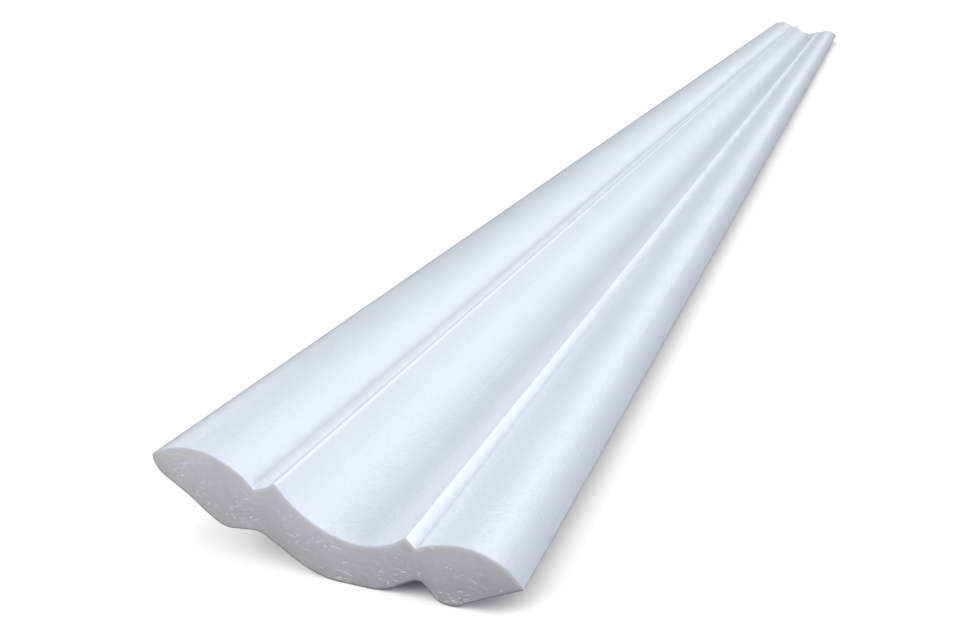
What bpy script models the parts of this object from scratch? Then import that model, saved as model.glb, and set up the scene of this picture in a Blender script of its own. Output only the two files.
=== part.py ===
# Crown moulding length: one square-cut piece of white extruded foam cornice.
#
# The section is drawn in its own frame with its two edges level: x runs from
# the ceiling edge to the wall edge, and z is up, away from the back. It is
# then turned by LIE_TILT and laid on its back, on a flat spot behind the cove
# and another on the wall rib. The length runs along Y, +Z is up, and the
# origin is at the middle of the box, on the floor. Metres throughout.

import math

import bmesh
import bpy
from mathutils import Vector
from mathutils.geometry import interpolate_bezier

# length of the piece, cut square at both ends
LENGTH = 2.000

# widths of the members of the face, from the ceiling edge to the wall edge
CEILING_OVOLO = 0.0363
STEP = 0.0066
COVE_STEEP = 0.0249
COVE_SHALLOW = 0.0174
FILLET = 0.0036
WALL_OVOLO = 0.0333

# heights on the face: the ovolos' crowns and the ceiling quirk from the line
# of the edges, the others from the member before
CEILING_OVOLO_RISE = 0.0073
WALL_OVOLO_RISE = 0.0066
CEILING_QUIRK_RISE = 0.0007
STEP_RISE = 0.0045
STEP_HOLLOW = 0.0003
COVE_DEPTH = 0.0104
COVE_LIP = 0.0080
FILLET_DROP = 0.0024

# place of each ovolo's crown, as a share of its width from its quirk
CEILING_CROWN = 0.50
WALL_CROWN = 0.52

# glue faces: the wall face lies at SPRING to the line of the edges, and the
# ceiling face is square to it
SPRING = math.radians(35.5)
WALL_FACE = 0.0198
CEILING_FACE = 0.0060

# the back: depths of the foam below the member of the face named
CEILING_RIB_DEPTH = 0.0229
CEILING_HOLLOW_DEPTH = 0.0139
COVE_WALL = 0.0152
WALL_HOLLOW_DEPTH = 0.0102

# how far the ceiling rib and the two hollows lie from those members along x
CEILING_RIB_SHIFT = 0.0099
CEILING_HOLLOW_SHIFT = 0.0030
WALL_HOLLOW_SHIFT = 0.0025

# the wall rib's bottom beyond the end of the wall face
WALL_RIB_OUT = 0.0062
WALL_RIB_DROP = 0.0032

# the curve of the back beside each rib, hollow and the keel behind the cove:
# how far its points lie from them, along x and up
WALL_RIB_HEEL = (0.0031, 0.0007)
WALL_RIB_TOE = (-0.0031, 0.0011)
WALL_HOLLOW_FLANK = (0.0032, -0.0018)
WALL_HOLLOW_BROW = (-0.0037, -0.0021)
WALL_HOLLOW_FOOT = (-0.0085, -0.0060)
KEEL_WALL_SIDE = (0.0087, 0.0015)
KEEL_BELLY = (-0.0080, -0.0010)
KEEL_CEILING_SIDE = (-0.0155, 0.0023)
CEILING_HOLLOW_BROW = (0.0058, -0.0019)
CEILING_HOLLOW_FLANK = (-0.0060, -0.0013)
CEILING_RIB_SIDE = (-0.0062, 0.0021)
CEILING_FLANK_SWELL = (-0.0028, 0.0013)

# soft roundings: their reach along the outline on both sides of a corner
CEILING_EDGE_SOFT = 0.0021
WALL_EDGE_SOFT = 0.0012
CREST_SOFT = 0.0007
QUIRK_SOFT = 0.0005
GLUE_FACE_SOFT = 0.0018

# how the piece lies: the turn of the section about its length, and how deep
# the flat spots cut into the wall rib
LIE_TILT = math.radians(9.3)
FLAT_DEPTH = 0.0002

ARC_STEPS = 12
CURVE_STEPS = 6
CORNER_STEPS = 4

FOAM_COLOUR = (0.83, 0.85, 0.89, 1.0)
FOAM_ROUGHNESS = 0.48


def clear_scene():
    for item in list(bpy.data.objects):
        bpy.data.objects.remove(item, do_unlink=True)


def foam_material():
    material = bpy.data.materials.new("white_foam")
    material.use_nodes = True
    shader = material.node_tree.nodes["Principled BSDF"]
    shader.inputs["Base Color"].default_value = FOAM_COLOUR
    shader.inputs["Roughness"].default_value = FOAM_ROUGHNESS
    shader.inputs["Metallic"].default_value = 0.0
    material.diffuse_color = FOAM_COLOUR
    return material


def arc(start, end, rise):
    """Circular arc; a positive rise bulges to the left of the way to its end."""
    along = (end - start).normalized()
    across = Vector((-along.y, along.x)) * math.copysign(1.0, rise)
    half = (end - start).length / 2.0
    height = abs(rise)
    radius = (half * half + height * height) / (2.0 * height)
    centre = (start + end) / 2.0 + across * (height - radius)
    spread = 2.0 * math.atan2(height, half)
    points = []
    for step in range(ARC_STEPS + 1):
        turn = spread * (2.0 * step / ARC_STEPS - 1.0)
        points.append(centre + radius * (math.cos(turn) * across + math.sin(turn) * along))
    return points


def level_arc(crown, end):
    """Arc between a crown or a cove's bottom, where it is level, and end."""
    run = end - crown
    turn = math.atan2(abs(run.y), abs(run.x))
    rise = run.length / 2.0 * math.tan(turn / 2.0)
    return arc(crown, end, math.copysign(rise, -run.x * run.y))


def flowing_curve(keys, first_direction):
    """Smooth curve through the keys, leaving the first along first_direction."""
    directions = [first_direction.normalized()]
    for before, after in zip(keys, keys[2:]):
        directions.append((after - before).normalized())
    directions.append((keys[-1] - keys[-2]).normalized())
    points = []
    for index in range(len(keys) - 1):
        start = keys[index]
        end = keys[index + 1]
        reach = (end - start).length / 3.0
        piece = interpolate_bezier(start, start + directions[index] * reach,
                                   end - directions[index + 1] * reach, end, CURVE_STEPS + 1)
        points.extend(piece if index == 0 else piece[1:])
    return [Vector(point[:2]) for point in points]


def shortened(run, cut):
    """The run with a length of cut taken off its end."""
    run = list(run)
    while len(run) > 2 and (run[-1] - run[-2]).length <= cut:
        cut -= (run[-1] - run[-2]).length
        run.pop()
    last = run[-2] - run[-1]
    run[-1] = run[-1] + last * min(cut / last.length, 0.9)
    return run


def joined(runs):
    """One closed outline from runs that meet end to end.

    Each run comes with the reach of the soft corner at its start.
    """
    corners = [run[0] for run, _reach in runs]
    trimmed = [list(run) for run, _reach in runs]
    for index, (_run, reach) in enumerate(runs):
        if reach > 0.0:
            trimmed[index] = shortened(trimmed[index][::-1], reach)[::-1]
            trimmed[index - 1] = shortened(trimmed[index - 1], reach)
    outline = []
    for index, (_run, reach) in enumerate(runs):
        if reach > 0.0:
            before = trimmed[index - 1][-1]
            after = trimmed[index][0]
            for step in range(CORNER_STEPS):
                share = step / CORNER_STEPS
                outline.append(before * (1.0 - share) ** 2 + after * share ** 2
                               + corners[index] * 2.0 * share * (1.0 - share))
        outline.extend(trimmed[index][:-1])
    return outline


def face_members():
    """Corners of the face, from the ceiling edge to the wall edge."""
    quirk = Vector((CEILING_OVOLO, CEILING_QUIRK_RISE))
    step_crest = quirk + Vector((STEP, STEP_RISE))
    cove_bottom = step_crest + Vector((COVE_STEEP, -COVE_DEPTH))
    fillet_crest = cove_bottom + Vector((COVE_SHALLOW, COVE_LIP))
    wall_quirk = fillet_crest + Vector((FILLET, -FILLET_DROP))
    return {
        "ceiling_edge": Vector((0.0, 0.0)),
        "ceiling_crown": Vector((CEILING_OVOLO * (1.0 - CEILING_CROWN), CEILING_OVOLO_RISE)),
        "ceiling_quirk": quirk,
        "step_crest": step_crest,
        "cove_bottom": cove_bottom,
        "fillet_crest": fillet_crest,
        "wall_quirk": wall_quirk,
        "wall_crown": Vector((wall_quirk.x + WALL_OVOLO * WALL_CROWN, WALL_OVOLO_RISE)),
        "wall_edge": Vector((wall_quirk.x + WALL_OVOLO, 0.0)),
    }


def face_runs(member):
    """The moulded face: ovolo, step, cove of two radii, fillet and ovolo."""
    return [
        (level_arc(member["ceiling_crown"], member["ceiling_edge"])[::-1], CEILING_EDGE_SOFT),
        (level_arc(member["ceiling_crown"], member["ceiling_quirk"]), 0.0),
        (arc(member["ceiling_quirk"], member["step_crest"], -STEP_HOLLOW), QUIRK_SOFT),
        (level_arc(member["cove_bottom"], member["step_crest"])[::-1], CREST_SOFT),
        (level_arc(member["cove_bottom"], member["fillet_crest"]), 0.0),
        ([member["fillet_crest"], member["wall_quirk"]], CREST_SOFT),
        (level_arc(member["wall_crown"], member["wall_quirk"])[::-1], QUIRK_SOFT),
        (level_arc(member["wall_crown"], member["wall_edge"]), 0.0),
    ]


def back_runs(member):
    """The back: wall face, rib, hollow, cove's back, hollow, rib, ceiling face."""
    edge = member["wall_edge"]
    face_end = edge - Vector((math.cos(SPRING), math.sin(SPRING))) * WALL_FACE
    rib = face_end - Vector((WALL_RIB_OUT, WALL_RIB_DROP))
    wall_hollow = member["wall_quirk"] + Vector((WALL_HOLLOW_SHIFT, -WALL_HOLLOW_DEPTH))
    keel = member["cove_bottom"] - Vector((0.0, COVE_WALL))
    ceiling_hollow = member["ceiling_quirk"] + Vector((CEILING_HOLLOW_SHIFT, -CEILING_HOLLOW_DEPTH))
    ceiling_rib = member["ceiling_crown"] + Vector((CEILING_RIB_SHIFT, -CEILING_RIB_DEPTH))
    ceiling_face_end = Vector((math.sin(SPRING), -math.cos(SPRING))) * CEILING_FACE
    flank = (ceiling_rib + ceiling_face_end) / 2.0
    keys = [
        face_end,
        rib + Vector(WALL_RIB_HEEL),
        rib,
        rib + Vector(WALL_RIB_TOE),
        wall_hollow + Vector(WALL_HOLLOW_FLANK),
        wall_hollow,
        wall_hollow + Vector(WALL_HOLLOW_BROW),
        wall_hollow + Vector(WALL_HOLLOW_FOOT),
        keel + Vector(KEEL_WALL_SIDE),
        keel,
        keel + Vector(KEEL_BELLY),
        keel + Vector(KEEL_CEILING_SIDE),
        ceiling_hollow + Vector(CEILING_HOLLOW_BROW),
        ceiling_hollow,
        ceiling_hollow + Vector(CEILING_HOLLOW_FLANK),
        ceiling_rib,
        ceiling_rib + Vector(CEILING_RIB_SIDE),
        flank + Vector(CEILING_FLANK_SWELL),
        ceiling_face_end,
    ]
    return [
        ([edge, face_end], WALL_EDGE_SOFT),
        (flowing_curve(keys, face_end - edge), 0.0),
        ([ceiling_face_end, member["ceiling_edge"]], GLUE_FACE_SOFT),
    ]


def above_floor(outline):
    """The outline with a straight flat wherever it dipped below the floor."""
    kept = []
    for index, point in enumerate(outline):
        before = outline[index - 1]
        if before.y * point.y < 0.0:
            kept.append(before.lerp(point, before.y / (before.y - point.y)))
        if point.y >= 0.0:
            kept.append(point)
    return kept


def lying_section():
    """The section's outline as the piece lies on the floor, in x and z."""
    member = face_members()
    across = math.cos(LIE_TILT)
    down = math.sin(LIE_TILT)
    lying = []
    for point in joined(face_runs(member) + back_runs(member)):
        lying.append(Vector((point.x * across + point.y * down, point.y * across - point.x * down)))
    rib_bottom = min(point.y for point in lying if point.x > member["wall_quirk"].x)
    left = min(point.x for point in lying)
    right = max(point.x for point in lying)
    place = Vector(((left + right) / 2.0, rib_bottom + FLAT_DEPTH))
    return above_floor([point - place for point in lying])


def crown_moulding(material):
    """The extruded length, cut square at both ends."""
    shape = bmesh.new()
    near_end = [shape.verts.new((p.x, -LENGTH / 2.0, p.y)) for p in lying_section()]
    shape.faces.new(near_end)
    grown = bmesh.ops.extrude_face_region(shape, geom=shape.faces[:], use_keep_orig=True)
    far_end = [item for item in grown["geom"] if isinstance(item, bmesh.types.BMVert)]
    bmesh.ops.translate(shape, verts=far_end, vec=(0.0, LENGTH, 0.0))
    bmesh.ops.recalc_face_normals(shape, faces=shape.faces[:])
    mesh = bpy.data.meshes.new("crown_moulding")
    shape.to_mesh(mesh)
    shape.free()
    mesh.materials.append(material)
    mesh.shade_smooth()
    mesh.set_sharp_from_angle(angle=math.radians(25.0))
    moulding = bpy.data.objects.new("crown_moulding", mesh)
    bpy.context.scene.collection.objects.link(moulding)
    return moulding


clear_scene()
crown_moulding(foam_material())
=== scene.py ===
import math

import bpy
import numpy as np
from mathutils import Matrix, Vector


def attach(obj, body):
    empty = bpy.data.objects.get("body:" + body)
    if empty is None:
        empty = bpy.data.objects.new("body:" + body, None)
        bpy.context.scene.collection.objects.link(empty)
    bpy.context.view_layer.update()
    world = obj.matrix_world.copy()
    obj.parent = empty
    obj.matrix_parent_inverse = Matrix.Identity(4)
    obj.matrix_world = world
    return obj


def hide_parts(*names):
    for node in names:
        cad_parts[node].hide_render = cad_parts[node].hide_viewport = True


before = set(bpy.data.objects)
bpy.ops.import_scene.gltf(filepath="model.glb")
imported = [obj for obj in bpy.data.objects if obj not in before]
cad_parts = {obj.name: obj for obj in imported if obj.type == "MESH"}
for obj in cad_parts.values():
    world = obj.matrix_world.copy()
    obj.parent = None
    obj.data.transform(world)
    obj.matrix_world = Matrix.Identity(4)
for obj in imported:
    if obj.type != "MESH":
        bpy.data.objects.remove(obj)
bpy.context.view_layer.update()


# camera at the photograph's viewing angle
cameraView = {
    "place": (0.1314, -1.2349, 0.1772),
    "forward": (-0.32092, 0.88488, -0.33763),
    "roll": 0.371,           # degrees, to the right
    "lens": 39.375,          # mm
    "sensor": 36.0,          # mm across
    "clip": (0.01, 200.0),   # metres
}


def addCamera(view):
    # level axes from the line of sight, then turned about it by the roll
    forward = Vector(view["forward"]).normalized()
    right = forward.cross(Vector((0.0, 0.0, 1.0))).normalized()
    up = right.cross(forward)
    roll = math.radians(view["roll"])
    turnedRight = right * math.cos(roll) + up * math.sin(roll)
    turnedUp = up * math.cos(roll) - right * math.sin(roll)
    data = bpy.data.cameras.new("photoCamera")
    data.sensor_width = view["sensor"]
    data.lens = view["lens"]
    data.clip_start, data.clip_end = view["clip"]
    camera = bpy.data.objects.new("photoCamera", data)
    turn = Matrix((turnedRight, turnedUp, -forward)).transposed()
    camera.matrix_world = Matrix.Translation(Vector(view["place"])) @ turn.to_4x4()
    bpy.context.scene.collection.objects.link(camera)
    bpy.context.scene.camera = camera


addCamera(cameraView)
print("camera set")


# node helpers
def addNode(tree, kind, inputs=None, **settings):
    node = tree.nodes.new(kind)
    for name, value in settings.items():
        setattr(node, name, value)
    for name, value in (inputs or {}).items():
        node.inputs[name].default_value = value
    return node


def mathNode(tree, operation, first, second):
    # first and second are sockets or plain numbers
    node = addNode(tree, "ShaderNodeMath", operation=operation)
    for index, value in enumerate((first, second)):
        if isinstance(value, (int, float)):
            node.inputs[index].default_value = value
        else:
            tree.links.new(value, node.inputs[index])
    return node.outputs[0]


def rangeNode(tree, value, low, high, toLow=0.0, toHigh=1.0):
    # smooth step from toLow at low to toHigh at high
    node = addNode(tree, "ShaderNodeMapRange", clamp=True, interpolation_type="SMOOTHSTEP")
    for name, number in (("From Min", low), ("From Max", high), ("To Min", toLow), ("To Max", toHigh)):
        node.inputs[name].default_value = number
    tree.links.new(value, node.inputs["Value"])
    return node.outputs["Result"]


def mixColour(tree, share, first, second):
    # first and second are sockets or colours; the colour inputs of the node are numbers 6 and 7
    node = addNode(tree, "ShaderNodeMix", data_type="RGBA")
    tree.links.new(share, node.inputs[0])
    for index, value in ((6, first), (7, second)):
        if isinstance(value, tuple):
            node.inputs[index].default_value = (*value, 1.0)
        else:
            tree.links.new(value, node.inputs[index])
    return node.outputs[2]


def attributeNode(tree, name):
    return addNode(tree, "ShaderNodeAttribute", attribute_name=name).outputs["Fac"]


def newMaterial(name):
    material = bpy.data.materials.new(name)
    material.use_nodes = True
    tree = material.node_tree
    return material, tree, tree.nodes["Principled BSDF"]


def bumpFrom(tree, height, distance, shader):
    bump = addNode(tree, "ShaderNodeBump", {"Strength": 1.0, "Distance": distance})
    tree.links.new(height, bump.inputs["Height"])
    tree.links.new(bump.outputs["Normal"], shader.inputs["Normal"])


# fine grain of the foam, shared by both materials
grainSet = {
    "peelDetail": 3.0, "peelRoughness": 0.55,
    "lineDetail": 2.0, "lineStretch": 0.004,      # lines run along the length
    "mottleScale": 38.0, "mottleDetail": 2.0,
}


def foamGrainGroup(settings):
    # height = round noise + line share * noise that is stretched along the length; mottle = broad noise
    group = bpy.data.node_groups.new("foamGrain", "ShaderNodeTree")
    sockets = group.interface
    sockets.new_socket(name="Point", in_out="INPUT", socket_type="NodeSocketVector")
    for name in ("Peel Scale", "Line Scale", "Line Share"):
        sockets.new_socket(name=name, in_out="INPUT", socket_type="NodeSocketFloat")
    for name in ("Height", "Mottle"):
        sockets.new_socket(name=name, in_out="OUTPUT", socket_type="NodeSocketFloat")
    start = group.nodes.new("NodeGroupInput")
    end = group.nodes.new("NodeGroupOutput")
    peel = addNode(group, "ShaderNodeTexNoise",
                   {"Detail": settings["peelDetail"], "Roughness": settings["peelRoughness"]})
    group.links.new(start.outputs["Point"], peel.inputs["Vector"])
    group.links.new(start.outputs["Peel Scale"], peel.inputs["Scale"])
    stretch = addNode(group, "ShaderNodeMapping", {"Scale": (1.0, settings["lineStretch"], 1.0)})
    group.links.new(start.outputs["Point"], stretch.inputs["Vector"])
    lines = addNode(group, "ShaderNodeTexNoise", {"Detail": settings["lineDetail"]})
    group.links.new(stretch.outputs["Vector"], lines.inputs["Vector"])
    group.links.new(start.outputs["Line Scale"], lines.inputs["Scale"])
    lineHeight = mathNode(group, "MULTIPLY", lines.outputs["Fac"], start.outputs["Line Share"])
    group.links.new(mathNode(group, "ADD", peel.outputs["Fac"], lineHeight), end.inputs["Height"])
    mottle = addNode(group, "ShaderNodeTexNoise",
                     {"Scale": settings["mottleScale"], "Detail": settings["mottleDetail"]})
    group.links.new(start.outputs["Point"], mottle.inputs["Vector"])
    group.links.new(mottle.outputs["Fac"], end.inputs["Mottle"])
    return group


foamGrain = foamGrainGroup(grainSet)


def grainNode(tree, point, peelScale, lineScale=500.0, lineShare=0.0):
    # without a line share the grain is round
    node = addNode(tree, "ShaderNodeGroup", node_tree=foamGrain)
    tree.links.new(point, node.inputs["Point"])
    node.inputs["Peel Scale"].default_value = peelScale
    node.inputs["Line Scale"].default_value = lineScale
    node.inputs["Line Share"].default_value = lineShare
    return node


# satin skin of the extruded face
skinLook = {
    "colour": (0.652, 0.716, 0.778),
    "mottleColour": (0.664, 0.726, 0.786),
    "mottleRange": (0.35, 0.65),
    "paintedHighlightColour": (0.860, 0.925, 0.980),      # painted highlight on the step, its crest and the fillet
    "paintedShadeColour": (0.540, 0.580, 0.645),      # painted shade on a line before the crest and on the last millimetres at both edges
    "roughness": (0.34, 0.38),
    "roughnessRange": (0.3, 0.7),
    "sheen": 0.9,
    "peelScale": 620.0,      # size of the orange peel
    "peelBump": 0.00031,     # metres
    "lineScale": 420.0, "lineShare": 0.5,
}


def skinMaterial(look):
    # colour = mottled skin, with painted highlight on the step, its crest and the fillet, and painted
    # shade on a line before the crest and at both edges
    material, tree, shader = newMaterial("satinSkin")
    point = addNode(tree, "ShaderNodeTexCoord").outputs["Object"]
    grain = grainNode(tree, point, look["peelScale"], look["lineScale"], look["lineShare"])
    mottle = rangeNode(tree, grain.outputs["Mottle"], *look["mottleRange"])
    colour = mixColour(tree, mottle, look["colour"], look["mottleColour"])
    # painted highlight on the step, its crest and the fillet
    colour = mixColour(tree, attributeNode(tree, "paintedHighlight"), colour, look["paintedHighlightColour"])
    # painted shade on a line before the crest and at both edges
    colour = mixColour(tree, attributeNode(tree, "paintedShade"), colour, look["paintedShadeColour"])
    tree.links.new(colour, shader.inputs["Base Color"])
    shader.inputs["Specular IOR Level"].default_value = look["sheen"]
    rough = rangeNode(tree, grain.outputs["Mottle"], *look["roughnessRange"], *look["roughness"])
    tree.links.new(rough, shader.inputs["Roughness"])
    bumpFrom(tree, grain.outputs["Height"], look["peelBump"], shader)
    return material


# sawn foam of the cut ends
cutLook = {
    "colour": (0.742, 0.744, 0.738),
    "darkColour": (0.695, 0.693, 0.706),
    "mottleRange": (0.35, 0.65),
    "tornColour": (0.98, 0.985, 0.99),        # lifted edges of the scratches, and flecks
    "rimColour": (0.69, 0.72, 0.77),          # beside the face
    "paintedBackShadeColour": (0.29, 0.29, 0.305),         # painted shade towards the back and the wall edge, and painted shadow line beside the back
    "roughness": 0.85,
    "cellScale": 1050.0,     # closed cells of the foam, about 1 mm
    "fleckScale": 900.0,
    "fleckShare": 0.982,     # cells whose random number is above this are white
    "fleckFade": (0.15, 0.34),                # distance from a cell's middle, as a share of the cell
    "cellHeight": 0.6, "fleckHeight": 0.9,    # shares of the bump
    "bump": 0.00015,         # metres
}


def cutMaterial(look):
    # flecks are the middles of the cells that a random colour picks out;
    # the attributes torn, rim and low carry the scratches, the line beside the face, and the painted shade
    # and painted shadow line towards the back
    material, tree, shader = newMaterial("sawnFoam")
    point = addNode(tree, "ShaderNodeTexCoord").outputs["Object"]
    grain = grainNode(tree, point, look["cellScale"])
    cells = addNode(tree, "ShaderNodeTexVoronoi", {"Scale": look["fleckScale"]}, feature="F1")
    tree.links.new(point, cells.inputs["Vector"])
    pick = addNode(tree, "ShaderNodeSeparateColor")
    tree.links.new(cells.outputs["Color"], pick.inputs["Color"])
    middle = rangeNode(tree, cells.outputs["Distance"], *look["fleckFade"], 1.0, 0.0)
    picked = mathNode(tree, "GREATER_THAN", pick.outputs["Red"], look["fleckShare"])
    fleck = mathNode(tree, "MULTIPLY", middle, picked)
    mottle = rangeNode(tree, grain.outputs["Mottle"], *look["mottleRange"])
    colour = mixColour(tree, mottle, look["darkColour"], look["colour"])
    # painted shade towards the back and the wall edge, and painted shadow line beside the back
    colour = mixColour(tree, attributeNode(tree, "low"), colour, look["paintedBackShadeColour"])
    colour = mixColour(tree, attributeNode(tree, "rim"), colour, look["rimColour"])
    torn = mathNode(tree, "MAXIMUM", attributeNode(tree, "torn"), fleck)
    tree.links.new(mixColour(tree, torn, colour, look["tornColour"]), shader.inputs["Base Color"])
    shader.inputs["Roughness"].default_value = look["roughness"]
    height = mathNode(tree, "ADD", mathNode(tree, "MULTIPLY", grain.outputs["Height"], look["cellHeight"]),
                      mathNode(tree, "MULTIPLY", fleck, look["fleckHeight"]))
    bumpFrom(tree, height, look["bump"], shader)
    return material


satinSkin = skinMaterial(skinLook)
sawnFoam = cutMaterial(cutLook)
print("materials made")


# section of the moulding
# drawn with its two edges level, x from the ceiling edge to the wall edge, z up out of the back
sectionSizes = {
    # widths across the face, in order
    "ceilingOvolo": 0.0363, "step": 0.0066, "coveSteep": 0.0249,
    "coveShallow": 0.0174, "fillet": 0.0036, "wallOvolo": 0.0333,
    # heights of the face
    "ceilingOvoloRise": 0.0073, "ceilingQuirkRise": 0.0007, "stepRise": 0.0045, "stepHollow": 0.0003,
    "coveDepth": 0.0104, "coveLip": 0.0080, "filletDrop": 0.0024, "wallOvoloRise": 0.0066,
    # place of each ovolo's crown, as a share of its width from the step or the fillet
    "ceilingCrown": 0.50, "wallCrown": 0.52,
    # degrees between the edges' level and the wall face, and widths of the glue faces
    "spring": 35.5, "wallFace": 0.0198, "ceilingFace": 0.0060,
    # ribs, hollows and keel of the back, from the face above them or the end of the wall face
    "ceilingRibDepth": 0.0229, "ceilingHollowDepth": 0.0139, "coveWall": 0.0152, "wallHollowDepth": 0.0102,
    "ceilingRibShift": 0.0099, "ceilingHollowShift": 0.0030, "wallHollowShift": 0.0025,
    "wallRibOut": 0.0062, "wallRibDrop": 0.0032,
    # keys of the curve of the back, each from the rib, hollow or keel beside it
    "wallRibHeel": (0.0031, 0.0007), "wallRibToe": (-0.0031, 0.0011),
    "wallHollowFlank": (0.0032, -0.0018), "wallHollowBrow": (-0.0037, -0.0021),
    "wallHollowFoot": (-0.0085, -0.0060), "keelWallSide": (0.0087, 0.0015),
    "keelBelly": (-0.0085, 0.0004), "keelCeilingSide": (-0.0155, 0.0023),
    "ceilingHollowBrow": (0.0058, -0.0019), "ceilingHollowFlank": (-0.0060, -0.0013),
    "ceilingRibSide": (-0.0062, 0.0021), "ceilingFlankSwell": (-0.0028, 0.0013),
    # softness of the corners
    "ceilingEdgeSoft": 0.0021, "wallEdgeSoft": 0.0012, "crestSoft": 0.0007, "quirkSoft": 0.0005,
    "glueFaceSoft": 0.0018,
    # degrees that it leans as it lies, and how far its foot is flattened
    "lieTilt": 9.3, "flatDepth": 0.0002,
    # points on the straight runs
    "filletPoints": 12, "wallFacePoints": 40, "ceilingFacePoints": 16,
}


def arcPoints(start, end, rise, steps=48):
    # circle through both ends: centre + radius * (across * cos(turn) + along * sin(turn))
    along = (end - start) / np.linalg.norm(end - start)
    across = np.array([-along[1], along[0]]) * math.copysign(1.0, rise)
    half = np.linalg.norm(end - start) / 2.0
    radius = (half * half + rise * rise) / (2.0 * abs(rise))
    centre = (start + end) / 2.0 + across * (abs(rise) - radius)
    spread = 2.0 * math.atan2(abs(rise), half)
    turn = np.linspace(-spread, spread, steps + 1)[:, None]
    return centre + radius * (np.cos(turn) * across + np.sin(turn) * along)


def levelArc(crown, end):
    # arc that is level at crown: rise = half the chord * tan(half the chord's slope)
    run = end - crown
    slope = math.atan2(abs(run[1]), abs(run[0]))
    rise = np.linalg.norm(run) / 2.0 * math.tan(slope / 2.0)
    return arcPoints(crown, end, math.copysign(rise, -run[0] * run[1]))


def flowingCurve(keys, firstWay, steps=24):
    # cubic through the keys: at each key its way is the chord of the two keys beside it
    ways = np.vstack([firstWay, keys[2:] - keys[:-2], keys[-1] - keys[-2]])
    ways = ways / np.linalg.norm(ways, axis=1)[:, None]
    reach = np.linalg.norm(keys[1:] - keys[:-1], axis=1)[:, None] / 3.0
    share = np.linspace(0.0, 1.0, steps, endpoint=False)[None, :, None]
    rest = 1.0 - share
    start, end = keys[:-1, None], keys[1:, None]
    leave, arrive = start + (ways[:-1] * reach)[:, None], end - (ways[1:] * reach)[:, None]
    curve = start * rest ** 3 + leave * 3 * rest ** 2 * share
    curve = curve + arrive * 3 * rest * share ** 2 + end * share ** 3
    return np.vstack([curve.reshape(-1, 2), keys[-1:]])


def cutBack(run, cut):
    # the run without its last stretch of length cut
    length = np.concatenate([[0.0], np.cumsum(np.linalg.norm(np.diff(run, axis=0), axis=1))])
    stop = length[-1] - cut
    last = [np.interp(stop, length, run[:, axis]) for axis in (0, 1)]
    return np.vstack([run[length < stop], last])


def closedOutline(runs, cornerSteps=8):
    # runs end to end; each corner is a short parabola that reaches back by its own softness
    trimmed = [run for run, soft in runs]
    for index, (run, soft) in enumerate(runs):
        if soft:
            trimmed[index] = cutBack(trimmed[index][::-1], soft)[::-1]
            trimmed[index - 1] = cutBack(trimmed[index - 1], soft)
    parts = []
    share = np.linspace(0.0, 1.0, cornerSteps + 1)[1:-1, None]
    for index, (run, soft) in enumerate(runs):
        if soft:
            before, after, corner = trimmed[index - 1][-1], trimmed[index][0], run[0]
            parts.append(before * (1 - share) ** 2 + corner * 2 * share * (1 - share) + after * share ** 2)
        softNext = runs[(index + 1) % len(runs)][1]
        parts.append(trimmed[index] if softNext else trimmed[index][:-1])
    return np.vstack(parts)


def point(x, z):
    return np.array([x, z])


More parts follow.
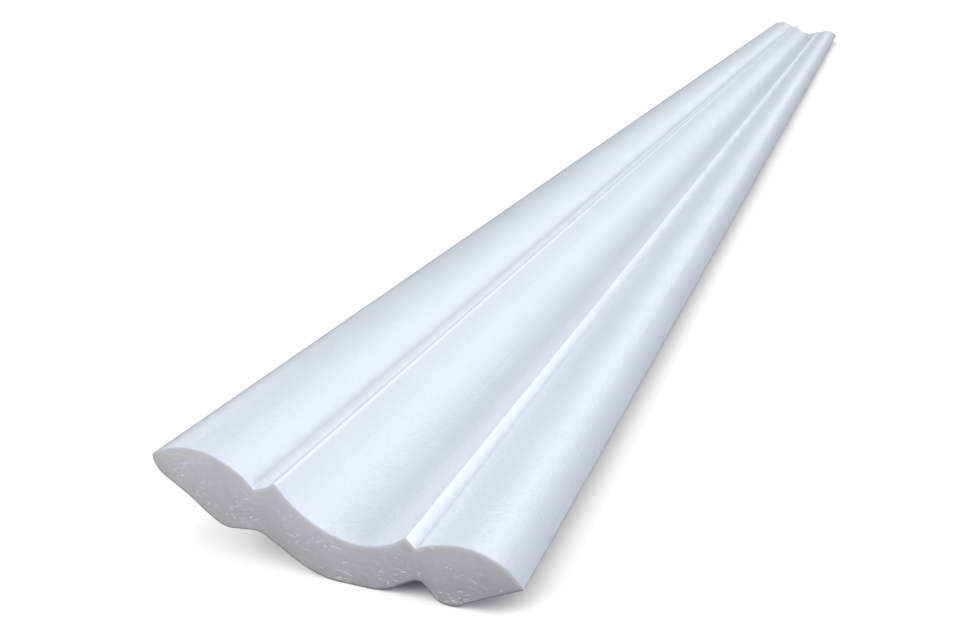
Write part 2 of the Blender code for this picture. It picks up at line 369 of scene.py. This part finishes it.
def lyingSection(size):
    # face: ovolo, step, cove of two radii, fillet, ovolo
    edge = point(0.0, 0.0)
    crown = point(size["ceilingOvolo"] * (1 - size["ceilingCrown"]), size["ceilingOvoloRise"])
    quirk = point(size["ceilingOvolo"], size["ceilingQuirkRise"])
    crest = quirk + point(size["step"], size["stepRise"])
    bottom = crest + point(size["coveSteep"], -size["coveDepth"])
    lip = bottom + point(size["coveShallow"], size["coveLip"])
    wallQuirk = lip + point(size["fillet"], -size["filletDrop"])
    wallCrown = point(wallQuirk[0] + size["wallOvolo"] * size["wallCrown"], size["wallOvoloRise"])
    wallEdge = point(wallQuirk[0] + size["wallOvolo"], 0.0)
    # back: wall face, rib, hollow, keel behind the cove, hollow, rib, ceiling face
    spring = math.radians(size["spring"])
    faceEnd = wallEdge - point(math.cos(spring), math.sin(spring)) * size["wallFace"]
    rib = faceEnd - point(size["wallRibOut"], size["wallRibDrop"])
    wallHollow = wallQuirk + point(size["wallHollowShift"], -size["wallHollowDepth"])
    keel = bottom - point(0.0, size["coveWall"])
    hollow = quirk + point(size["ceilingHollowShift"], -size["ceilingHollowDepth"])
    ceilingRib = crown + point(size["ceilingRibShift"], -size["ceilingRibDepth"])
    landEnd = point(math.sin(spring), -math.cos(spring)) * size["ceilingFace"]
    keys = np.array([
        faceEnd, rib + size["wallRibHeel"], rib, rib + size["wallRibToe"],
        wallHollow + size["wallHollowFlank"], wallHollow, wallHollow + size["wallHollowBrow"],
        wallHollow + size["wallHollowFoot"], keel + size["keelWallSide"], keel, keel + size["keelBelly"],
        keel + size["keelCeilingSide"], hollow + size["ceilingHollowBrow"], hollow,
        hollow + size["ceilingHollowFlank"], ceilingRib, ceilingRib + size["ceilingRibSide"],
        (ceilingRib + landEnd) / 2.0 + size["ceilingFlankSwell"], landEnd,
    ])
    outline = closedOutline([
        (levelArc(crown, edge)[::-1], size["ceilingEdgeSoft"]),
        (levelArc(crown, quirk), 0.0),
        (arcPoints(quirk, crest, -size["stepHollow"]), size["quirkSoft"]),
        (levelArc(bottom, crest)[::-1], size["crestSoft"]),
        (levelArc(bottom, lip), 0.0),
        (np.linspace(lip, wallQuirk, size["filletPoints"]), size["crestSoft"]),
        (levelArc(wallCrown, wallQuirk)[::-1], size["quirkSoft"]),
        (levelArc(wallCrown, wallEdge), 0.0),
        (np.linspace(wallEdge, faceEnd, size["wallFacePoints"]), size["wallEdgeSoft"]),
        (flowingCurve(keys, faceEnd - wallEdge), 0.0),
        (np.linspace(landEnd, edge, size["ceilingFacePoints"]), size["glueFaceSoft"]),
    ])
    # turned as it lies, set down on its wall rib and centred across
    tilt = math.radians(size["lieTilt"])
    turn = np.array([[math.cos(tilt), -math.sin(tilt)], [math.sin(tilt), math.cos(tilt)]])
    turned = outline @ turn
    ribBottom = turned[turned[:, 0] > wallQuirk[0], 1].min()
    middle = (turned[:, 0].min() + turned[:, 0].max()) / 2.0
    places = {"quirk": quirk, "crest": crest, "lip": lip, "wallQuirk": wallQuirk}
    places = {name: float((place @ turn)[0] - middle) for name, place in places.items()}
    return turned - [middle, ribBottom + size["flatDepth"]], places


# mesh of the moulding
meshSet = {
    "length": 2.0,
    "sideColumns": 200,      # samples on the face, and as many on the back
    "turnReach": 0.004,      # metres of curve that one radian of turning counts for
    "closestColumns": 0.00003,
    "floorBend": 0.0004,     # softness of the spots that it rests on
    "capRows": 84,
    "lengthSteps": 32,
    # slow waves: depth, size across, share of the length that counts, height from which they are full
    "waveHeight": 0.00008, "waveSize": 0.045, "waveAlong": 0.1, "waveFree": 0.003, "waveSeed": 4,
    # saw cut: depth, its level share and most, and its uneven waves as share, size and seed
    "sawHeight": 0.00022, "sawLevel": 0.5, "sawMost": 1.5,
    "sawWaves": ((0.35, 0.016, 11), (0.08, 0.0035, 21)),
    "rimRound": 0.00016, "rimReach": 0.00025,     # soft edge around the cut
    # scratches: half lengths, most extra for the few long ones, bend in 1/m, angles in radians
    "scratchCount": 330, "scratchSeed": 31, "scratchHeight": 0.00015, "scratchWidth": 0.00012,
    "scratchWidths": (0.7, 1.3), "scratchHalf": (0.0004, 0.0013), "scratchLong": 0.0012,
    "scratchBend": 260.0, "scratchWeakest": 0.3, "scratchGroove": 1.7, "scratchMargin": 0.0006,
    "bunchAngle": 1.2, "scratchAngle": 0.75, "scratchLoose": 0.30,
    # middles of the bunches of scratches, and their spread
    "scratchBunches": ((0.004, 0.003, 0.0026), (-0.001, 0.013, 0.0022), (-0.041, 0.019, 0.0030),
                       (-0.028, 0.014, 0.0030), (0.045, 0.006, 0.0034), (0.039, 0.002, 0.0026),
                       (-0.050, 0.029, 0.0022), (0.018, 0.006, 0.0040), (-0.012, 0.009, 0.0040)),
    # tones of the cut: share and width of the line beside the face and of the painted shadow line beside
    # the back, share and power of the painted shade towards the back, share of the painted shade towards
    # the wall edge
    "rimLine": (0.8, 0.0013), "paintedShadowLine": (0.65, 0.00030), "paintedBackShade": (0.36, 1.5), "paintedWallShade": 0.38,
    # painted highlight and painted shade bands along the face: share, start and end, each a named place
    # and a shift from it
    "ledgeShare": 0.62,      # the ledge lies this far from the quirk to the crest
    "paintedHighlightBands": ((0.7, ("quirk", -0.0005), ("ledge", 0.0)), (0.8, ("crest", -0.0007), ("crest", 0.0004)),
                  (0.9, ("lip", 0.0002), ("wallQuirk", 0.0))),
    # painted shade on a line before the crest
    "paintedShadeBands": ((0.5, ("ledge", 0.0), ("crest", -0.0008)),),
    "bandSoft": 0.0004,
    "paintedShadeEdges": (0.008, 0.010),     # how far the painted shade reaches in from the edges, at the ceiling and at the wall
}


def faceAndBack(outline, settings):
    # heights of the face and of the back over one row of x, close together where either curve turns
    left, right = np.argmin(outline[:, 0]), np.argmax(outline[:, 0])
    ring = np.roll(outline, -left, axis=0)
    stop = (right - left) % len(outline)
    face = ring[:stop + 1]
    back = np.vstack([ring[stop:], ring[:1]])[::-1]
    columns = []
    for curve in (face, back):
        curve[:, 0] = np.maximum.accumulate(curve[:, 0])
        run = np.diff(curve, axis=0)
        way = np.unwrap(np.arctan2(run[:, 1], run[:, 0]))
        turning = np.abs(np.diff(way, prepend=way[0]))
        measure = np.cumsum(np.linalg.norm(run, axis=1) + turning * settings["turnReach"])
        measure = np.concatenate([[0.0], measure])
        even = np.linspace(0.0, measure[-1], settings["sideColumns"])
        columns.append(np.interp(even, measure, curve[:, 0]))
    x = np.unique(np.concatenate(columns))
    x = x[np.concatenate([[True], np.diff(x) > settings["closestColumns"]])]
    x[-1] = outline[:, 0].max()
    nudge = 1e-12      # keeps x rising where a curve stands upright
    top = np.interp(x, face[:, 0] + np.arange(len(face)) * nudge, face[:, 1])
    low = np.interp(x, back[:, 0] + np.arange(len(back)) * nudge, back[:, 1])
    top[0] = low[0] = (top[0] + low[0]) / 2.0
    top[-1] = low[-1] = (top[-1] + low[-1]) / 2.0
    # the back settles on the floor with a soft bend: height = (low + root(low^2 + bend^2)) / 2,
    # and that fades out above twice the bend
    bend = settings["floorBend"]
    settled = (low + np.hypot(low, bend)) / 2.0
    fading = low + (settled - low) * np.exp(-(low - 2.0 * bend) / bend)
    return x, top, np.where(low < 2.0 * bend, settled, fading)


def waves(points, seed, size, count=14, sizes=(0.6, 1.7)):
    # sum of plane waves in random ways, of about the given size, scaled to about -1..1
    rng = np.random.default_rng(seed)
    way = rng.normal(size=(count, points.shape[-1]))
    way /= np.linalg.norm(way, axis=1)[:, None]
    length = size * rng.uniform(*sizes, count)
    phase = rng.uniform(0.0, 2 * math.pi, count)
    turns = points @ (way / length[:, None] * 2 * math.pi).T + phase
    return np.sin(turns).sum(axis=-1) / math.sqrt(count / 2.0) / 2.0


def sideRings(x, top, low, settings):
    # each ring is the section: face from left to right, then back from right to left
    ringX = np.concatenate([x, x[-2:0:-1]])
    ringZ = np.concatenate([top, low[-2:0:-1]])
    aroundX = np.roll(ringX, -1) - np.roll(ringX, 1)
    aroundZ = np.roll(ringZ, -1) - np.roll(ringZ, 1)
    outward = np.stack([-aroundZ, aroundX], axis=1)
    outward /= np.linalg.norm(outward, axis=1)[:, None]
    half = settings["length"] / 2.0
    y = np.linspace(-half, half, settings["lengthSteps"])
    rings = np.zeros((len(y), len(ringX), 3))
    rings[:, :, 0] = ringX
    rings[:, :, 1] = y[:, None]
    rings[:, :, 2] = ringZ
    # slow waves push the surface in along its normal, but not where it lies on the floor
    free = np.clip(ringZ / settings["waveFree"], 0.0, 1.0) * settings["waveHeight"]
    drawn = rings * np.array([1.0, settings["waveAlong"], 1.0])
    push = (waves(drawn, settings["waveSeed"], settings["waveSize"]) - 1.0) * free
    rings[:, :, 0] += outward[:, 0] * push
    rings[:, :, 2] += outward[:, 1] * push
    return rings


def ringQuads(ringTotal, ringCount):
    # quads between neighbouring rings
    ring = np.arange(ringCount)
    nextInRing = np.roll(ring, -1)
    start = (np.arange(ringTotal - 1) * ringCount)[:, None]
    after = start + ringCount
    quads = np.stack([start + ring, start + nextInRing, after + nextInRing, after + ring], axis=-1)
    return quads.reshape(-1, 4)


def sawScratches(flat, seed, settings):
    # short bent scratches in bunches: across one, a lifted lip beside a groove, both bell curves;
    # along it, full height that falls off towards both ends
    rng = np.random.default_rng(seed)
    count = settings["scratchCount"]
    bunches = np.array(settings["scratchBunches"])
    bunch = rng.integers(0, len(bunches), count)
    loose = rng.random(count) < settings["scratchLoose"]
    low, high = flat.min(axis=0), flat.max(axis=0)
    place = bunches[bunch, :2] + rng.normal(0.0, 1.0, (count, 2)) * bunches[bunch, 2:]
    place = np.where(loose[:, None], rng.uniform(low, high, (count, 2)), place)
    turned = settings["bunchAngle"]
    angle = rng.uniform(-turned, turned, len(bunches))[bunch]
    angle = angle + rng.normal(0.0, settings["scratchAngle"], count)
    half = rng.uniform(*settings["scratchHalf"], count) + settings["scratchLong"] * rng.random(count) ** 4
    bend = rng.normal(0.0, settings["scratchBend"], count)
    width = settings["scratchWidth"] * rng.uniform(*settings["scratchWidths"], count)
    strength = rng.uniform(settings["scratchWeakest"], 1.0, count) ** 2
    gap = flat[:, None, :] - place[None]
    along = gap[..., 0] * np.cos(angle) + gap[..., 1] * np.sin(angle)
    across = gap[..., 1] * np.cos(angle) - gap[..., 0] * np.sin(angle) - bend * along ** 2 / 2.0
    fade = np.clip(1.0 - (along / half) ** 2, 0.0, 1.0) * strength
    lip = np.exp(-(across / width) ** 2) * fade
    groove = np.exp(-((across - settings["scratchGroove"] * width) / width) ** 2) * fade
    return lip.max(axis=1), groove.max(axis=1)


def cutSurface(topRim, lowRim, slopes, x, cap, settings):
    # rows of points from the back to the face; the saw and its scratches push them inwards
    level = np.linspace(0.0, 1.0, settings["capRows"] + 1)[:, None]
    grid = lowRim[None] * (1 - level[:, :, None]) + topRim[None] * level[:, :, None]
    shape = grid.shape[:2]
    flat = grid[:, :, [0, 2]].reshape(-1, 2)
    clearTop = (topRim[None, :, 2] - grid[:, :, 2]) * slopes[0]
    clearLow = (grid[:, :, 2] - lowRim[None, :, 2]) * slopes[1]
    lip, groove = sawScratches(flat, settings["scratchSeed"] + cap, settings)
    inside = np.minimum(np.minimum(clearTop, clearLow) / settings["scratchMargin"], 1.0)
    lip, groove = lip.reshape(shape) * inside, groove.reshape(shape) * inside
    saw = settings["sawLevel"]
    for share, size, seed in settings["sawWaves"]:
        saw = saw + share * waves(flat, seed + cap, size)
    depth = settings["sawHeight"] * np.clip(saw.reshape(shape), 0.0, settings["sawMost"])
    depth = depth + (groove - lip) * settings["scratchHeight"]
    reach = settings["rimReach"]
    depth = depth + settings["rimRound"] * (np.exp(-clearTop / reach) + np.exp(-clearLow / reach))
    inwards = 1 - 2 * cap
    grid[:, :, 1] += inwards * np.maximum(depth, 0.0)
    # tones: pale line beside the face, painted shade towards the back and the wall edge, painted shadow
    # line beside the back
    rimShare, rimWidth = settings["rimLine"]
    rim = np.exp(-(clearTop / rimWidth) ** 2) * rimShare
    shadowLineShare, shadowLineWidth = settings["paintedShadowLine"]
    shade, power = settings["paintedBackShade"]
    low = shade * (1.0 - level) ** power + settings["paintedWallShade"] * (x - x[0]) / (x[-1] - x[0])
    low = low + shadowLineShare * np.exp(-(clearLow / shadowLineWidth) ** 2)
    return grid, np.stack([rim, lip, low], axis=-1)


def cutIndex(base, total, ringCount, shape):
    # numbers of the points of a cut; its outer ring is the last ring of the sides
    rows, columns = shape
    index = np.zeros(shape, dtype=int)
    back = base + np.arange(ringCount - 1, columns - 1, -1)
    index[0] = np.concatenate([[base], back, [base + columns - 1]])
    index[-1] = base + np.arange(columns)
    index[:, 0], index[:, -1] = base, base + columns - 1
    inner = (rows - 2, columns - 2)
    index[1:-1, 1:-1] = total + np.arange(inner[0] * inner[1]).reshape(inner)
    return index


def cutFaces(index, flip):
    # quads, and triangles at the two edges, where the rows meet
    quads = np.stack([index[:-1, 1:-2], index[:-1, 2:-1], index[1:, 2:-1], index[1:, 1:-2]], axis=-1)
    left = np.stack([index[:-1, 0], index[:-1, 1], index[1:, 1]], axis=1)
    right = np.stack([index[:-1, -1], index[1:, -2], index[:-1, -2]], axis=1)
    return quads.reshape(-1, 4)[:, ::flip], left[:, ::flip], right[:, ::flip]


def bandMark(across, bands, places, soft):
    # strongest band at each point: its share inside, falling to nothing over the width soft
    strongest = np.zeros(len(across))
    for share, (start, startShift), (end, endShift) in bands:
        low, high = places[start] + startShift, places[end] + endShift
        inside = np.clip(np.minimum(across - low, high - across) / soft + 0.5, 0.0, 1.0)
        strongest = np.maximum(strongest, share * inside)
    return strongest


def edgeMark(gap, reach):
    # 1 at the edge and 0 at the reach, as a squared sine
    return np.sin(np.clip(1.0 - gap / reach, 0.0, 1.0) * math.pi / 2.0) ** 2


def mouldingMesh(size, settings):
    outline, places = lyingSection(size)
    x, top, low = faceAndBack(outline, settings)
    columns = len(x)
    rings = sideRings(x, top, low, settings)
    ringTotal, ringCount = rings.shape[:2]
    sides = rings.reshape(-1, 3)
    sideMarks = np.zeros(sides.shape)
    points, marks, quads, tips = [sides], [sideMarks], [], []
    total = len(sides)
    lastRing = total - ringCount
    slopes = [1.0 / np.hypot(1.0, np.gradient(height, x)) for height in (top, low)]
    for cap, base in enumerate((0, lastRing)):
        ring = sides[base:base + ringCount]
        topRim = ring[:columns]
        lowRim = np.vstack([ring[:1], ring[columns:][::-1], ring[columns - 1:columns]])
        grid, mark = cutSurface(topRim, lowRim, slopes, x, cap, settings)
        index = cutIndex(base, total, ringCount, grid.shape[:2])
        for row in (0, -1):
            sides[index[row], 1] = grid[row, :, 1]
            sideMarks[index[row]] = mark[row]
        points.append(grid[1:-1, 1:-1].reshape(-1, 3))
        marks.append(mark[1:-1, 1:-1].reshape(-1, 3))
        total += len(points[-1])
        capQuads, *capTips = cutFaces(index, 1 - 2 * cap)
        quads.append(capQuads)
        tips += capTips
    points, marks = np.vstack(points), np.vstack(marks)
    # painted highlight on the step, on its crest and on the fillet; painted shade on a line before the
    # crest and at both edges
    across = points[:, 0]
    places["ledge"] = places["quirk"] + settings["ledgeShare"] * (places["crest"] - places["quirk"])
    paintedHighlight = bandMark(across, settings["paintedHighlightBands"], places, settings["bandSoft"])
    paintedShade = bandMark(across, settings["paintedShadeBands"], places, settings["bandSoft"])
    for gap, reach in zip((across - x[0], x[-1] - across), settings["paintedShadeEdges"]):
        paintedShade = np.maximum(paintedShade, edgeMark(gap, reach))
    atEnd = np.zeros(len(points), dtype=bool)
    atEnd[:ringCount] = True
    atEnd[lastRing:lastRing + ringCount] = True
    return {"points": points, "sides": ringQuads(ringTotal, ringCount), "caps": np.vstack(quads),
            "tips": np.vstack(tips), "endRing": atEnd, "paintedHighlight": paintedHighlight, "paintedShade": paintedShade,
            "rim": marks[:, 0], "torn": marks[:, 1], "low": marks[:, 2]}


def addMoulding(size, settings):
    made = mouldingMesh(size, settings)
    mesh = bpy.data.meshes.new("mouldingLength")
    faces = made["sides"].tolist() + made["caps"].tolist() + made["tips"].tolist()
    mesh.from_pydata(made["points"].tolist(), [], faces)
    mesh.materials.append(satinSkin)
    mesh.materials.append(sawnFoam)
    cut = np.zeros(len(mesh.polygons), dtype=np.int32)
    cut[len(made["sides"]):] = 1
    mesh.polygons.foreach_set("material_index", cut)
    for name in ("paintedHighlight", "paintedShade", "rim", "torn", "low"):
        values = made[name].astype(np.float32)
        mesh.attributes.new(name, "FLOAT", "POINT").data.foreach_set("value", values)
    mesh.shade_smooth()
    # only the rim of each cut is a sharp edge
    pairs = np.empty(len(mesh.edges) * 2, dtype=np.int32)
    mesh.edges.foreach_get("vertices", pairs)
    sharp = made["endRing"][pairs.reshape(-1, 2)].all(axis=1)
    mesh.attributes.new("sharp_edge", "BOOLEAN", "EDGE").data.foreach_set("value", sharp)
    mesh.update()
    moulding = bpy.data.objects.new("mouldingLength", mesh)
    bpy.context.scene.collection.objects.link(moulding)
    print("moulding made:", 2 * len(faces) - len(made["tips"]), "triangles")
    return moulding


moulding = addMoulding(sectionSizes, meshSet)
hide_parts("crown_moulding")
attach(moulding, "root")


# floor and light
studioSet = {
    "floorColour": (0.93, 0.925, 0.895),
    "floorRoughness": 0.9, "floorSheen": 0.1,
    "floorSize": 60.0,
    "floorDrop": 0.0002,     # below the moulding's foot
    "sky": 0.19,
    "skyColour": (0.95, 0.96, 1.12),
    "groundShare": 0.30,     # light from below the horizon, as a share of the sky's
    "horizonSoft": 0.1,
    "backdrop": 1.0,         # what is seen beyond the floor
    # far soft boxes: power, angle across, where it stands, and what it lights
    "boxes": {
        "frontBox": (0.98, 28.0, (-0.34, -0.66, 0.66), "moulding"),
        "rightBox": (2.00, 28.0, (0.94, -0.24, 0.24), "moulding"),
        "leftBox": (0.64, 28.0, (-0.87, 0.0, 0.50), "moulding"),
        "rearBox": (0.33, 28.0, (-0.71, 0.61, 0.35), "moulding"),
        "nearEndBox": (0.62, 20.0, (0.0, -1.0, 0.0), "cuts"),
        "farEndBox": (0.62, 20.0, (0.0, 1.0, 0.0), "cuts"),
        "floorRightBox": (0.40, 60.0, (0.75, 0.0, 0.65), "floor"),
        "floorLeftBox": (4.4, 60.0, (-0.75, -0.50, 0.42), "floor"),
        "floorRearBox": (1.9, 60.0, (0.20, 0.60, 0.77), "floor"),
        "floorDome": (1.55, 170.0, (0.0, 0.0, 1.0), "floor"),
    },
    # strips that run along the whole moulding: watts, width, distance, lean to the right in degrees
    "strips": {
        "nearStrip": (1.9, 0.10, 0.30, 18.0),
        "topStrip": (5.0, 0.40, 1.00, 0.0),
    },
    "stripLength": 4.0,
}


def addFloor(settings):
    half, drop = settings["floorSize"] / 2.0, settings["floorDrop"]
    mesh = bpy.data.meshes.new("studioFloor")
    corners = [(-half, -half, -drop), (half, -half, -drop), (half, half, -drop), (-half, half, -drop)]
    mesh.from_pydata(corners, [], [(0, 1, 2, 3)])
    paint, tree, shader = newMaterial("floorPaper")
    shader.inputs["Base Color"].default_value = (*settings["floorColour"], 1.0)
    shader.inputs["Roughness"].default_value = settings["floorRoughness"]
    shader.inputs["Specular IOR Level"].default_value = settings["floorSheen"]
    # clear from below, so that the back of the moulding can be looked at
    either = addNode(tree, "ShaderNodeMixShader")
    clear = addNode(tree, "ShaderNodeBsdfTransparent")
    tree.links.new(addNode(tree, "ShaderNodeNewGeometry").outputs["Backfacing"], either.inputs[0])
    tree.links.new(shader.outputs["BSDF"], either.inputs[1])
    tree.links.new(clear.outputs["BSDF"], either.inputs[2])
    tree.links.new(either.outputs["Shader"], tree.nodes["Material Output"].inputs["Surface"])
    mesh.materials.append(paint)
    floor = bpy.data.objects.new("studioFloor", mesh)
    floor.visible_diffuse = False      # the paper throws no light back onto the moulding
    floor.visible_glossy = False
    bpy.context.scene.collection.objects.link(floor)
    return floor


def litGroup(name, piece):
    group = bpy.data.collections.new(name)
    group.objects.link(piece)
    return group


def addLamp(name, kind, energy, group):
    data = bpy.data.lights.new(name, kind)
    data.energy = energy
    lamp = bpy.data.objects.new(name, data)
    lamp.rotation_mode = "QUATERNION"
    lamp.light_linking.receiver_collection = group
    bpy.context.scene.collection.objects.link(lamp)
    return lamp


def addLamps(settings, floor):
    # the moulding and the floor are lit by lamps of their own
    groups = {"moulding": litGroup("litMoulding", moulding), "floor": litGroup("litFloor", floor)}
    groups["cuts"] = groups["moulding"]
    for name, (power, angle, place, lit) in settings["boxes"].items():
        lamp = addLamp(name, "SUN", power, groups[lit])
        lamp.data.angle = math.radians(angle)
        lamp.rotation_quaternion = Vector(place).to_track_quat("Z", "Y")
        lamp.visible_glossy = lit != "cuts"      # what lights the cuts leaves no shine on the face
    for name, (power, width, distance, lean) in settings["strips"].items():
        lamp = addLamp(name, "AREA", power, groups["moulding"])
        lamp.data.shape = "RECTANGLE"
        lamp.data.size = width
        lamp.data.size_y = settings["stripLength"]
        # level along the length, its face turned to the moulding
        way = Vector((math.sin(math.radians(lean)), 0.0, math.cos(math.radians(lean))))
        length = Vector((0.0, 1.0, 0.0))
        turn = Matrix((length.cross(way), length, way)).transposed()
        lamp.matrix_world = Matrix.Translation(way * distance) @ turn.to_4x4()


def addWorld(settings):
    # strength = sky above the horizon, its ground share below, and the backdrop where the camera sees it
    world = bpy.data.worlds.new("studio")
    world.use_nodes = True
    tree = world.node_tree
    background = tree.nodes["Background"]
    background.inputs["Color"].default_value = (*settings["skyColour"], 1.0)
    upward = addNode(tree, "ShaderNodeSeparateXYZ")
    tree.links.new(addNode(tree, "ShaderNodeTexCoord").outputs["Generated"], upward.inputs["Vector"])
    soft, sky = settings["horizonSoft"], settings["sky"]
    light = rangeNode(tree, upward.outputs["Z"], -soft, soft, sky * settings["groundShare"], sky)
    seen = addNode(tree, "ShaderNodeLightPath").outputs["Is Camera Ray"]
    backdrop = mathNode(tree, "MULTIPLY", seen, settings["backdrop"])
    tree.links.new(mathNode(tree, "MAXIMUM", light, backdrop), background.inputs["Strength"])
    bpy.context.scene.world = world


addLamps(studioSet, addFloor(studioSet))
addWorld(studioSet)
bpy.context.scene.view_settings.view_transform = "Standard"
print("studio lit")
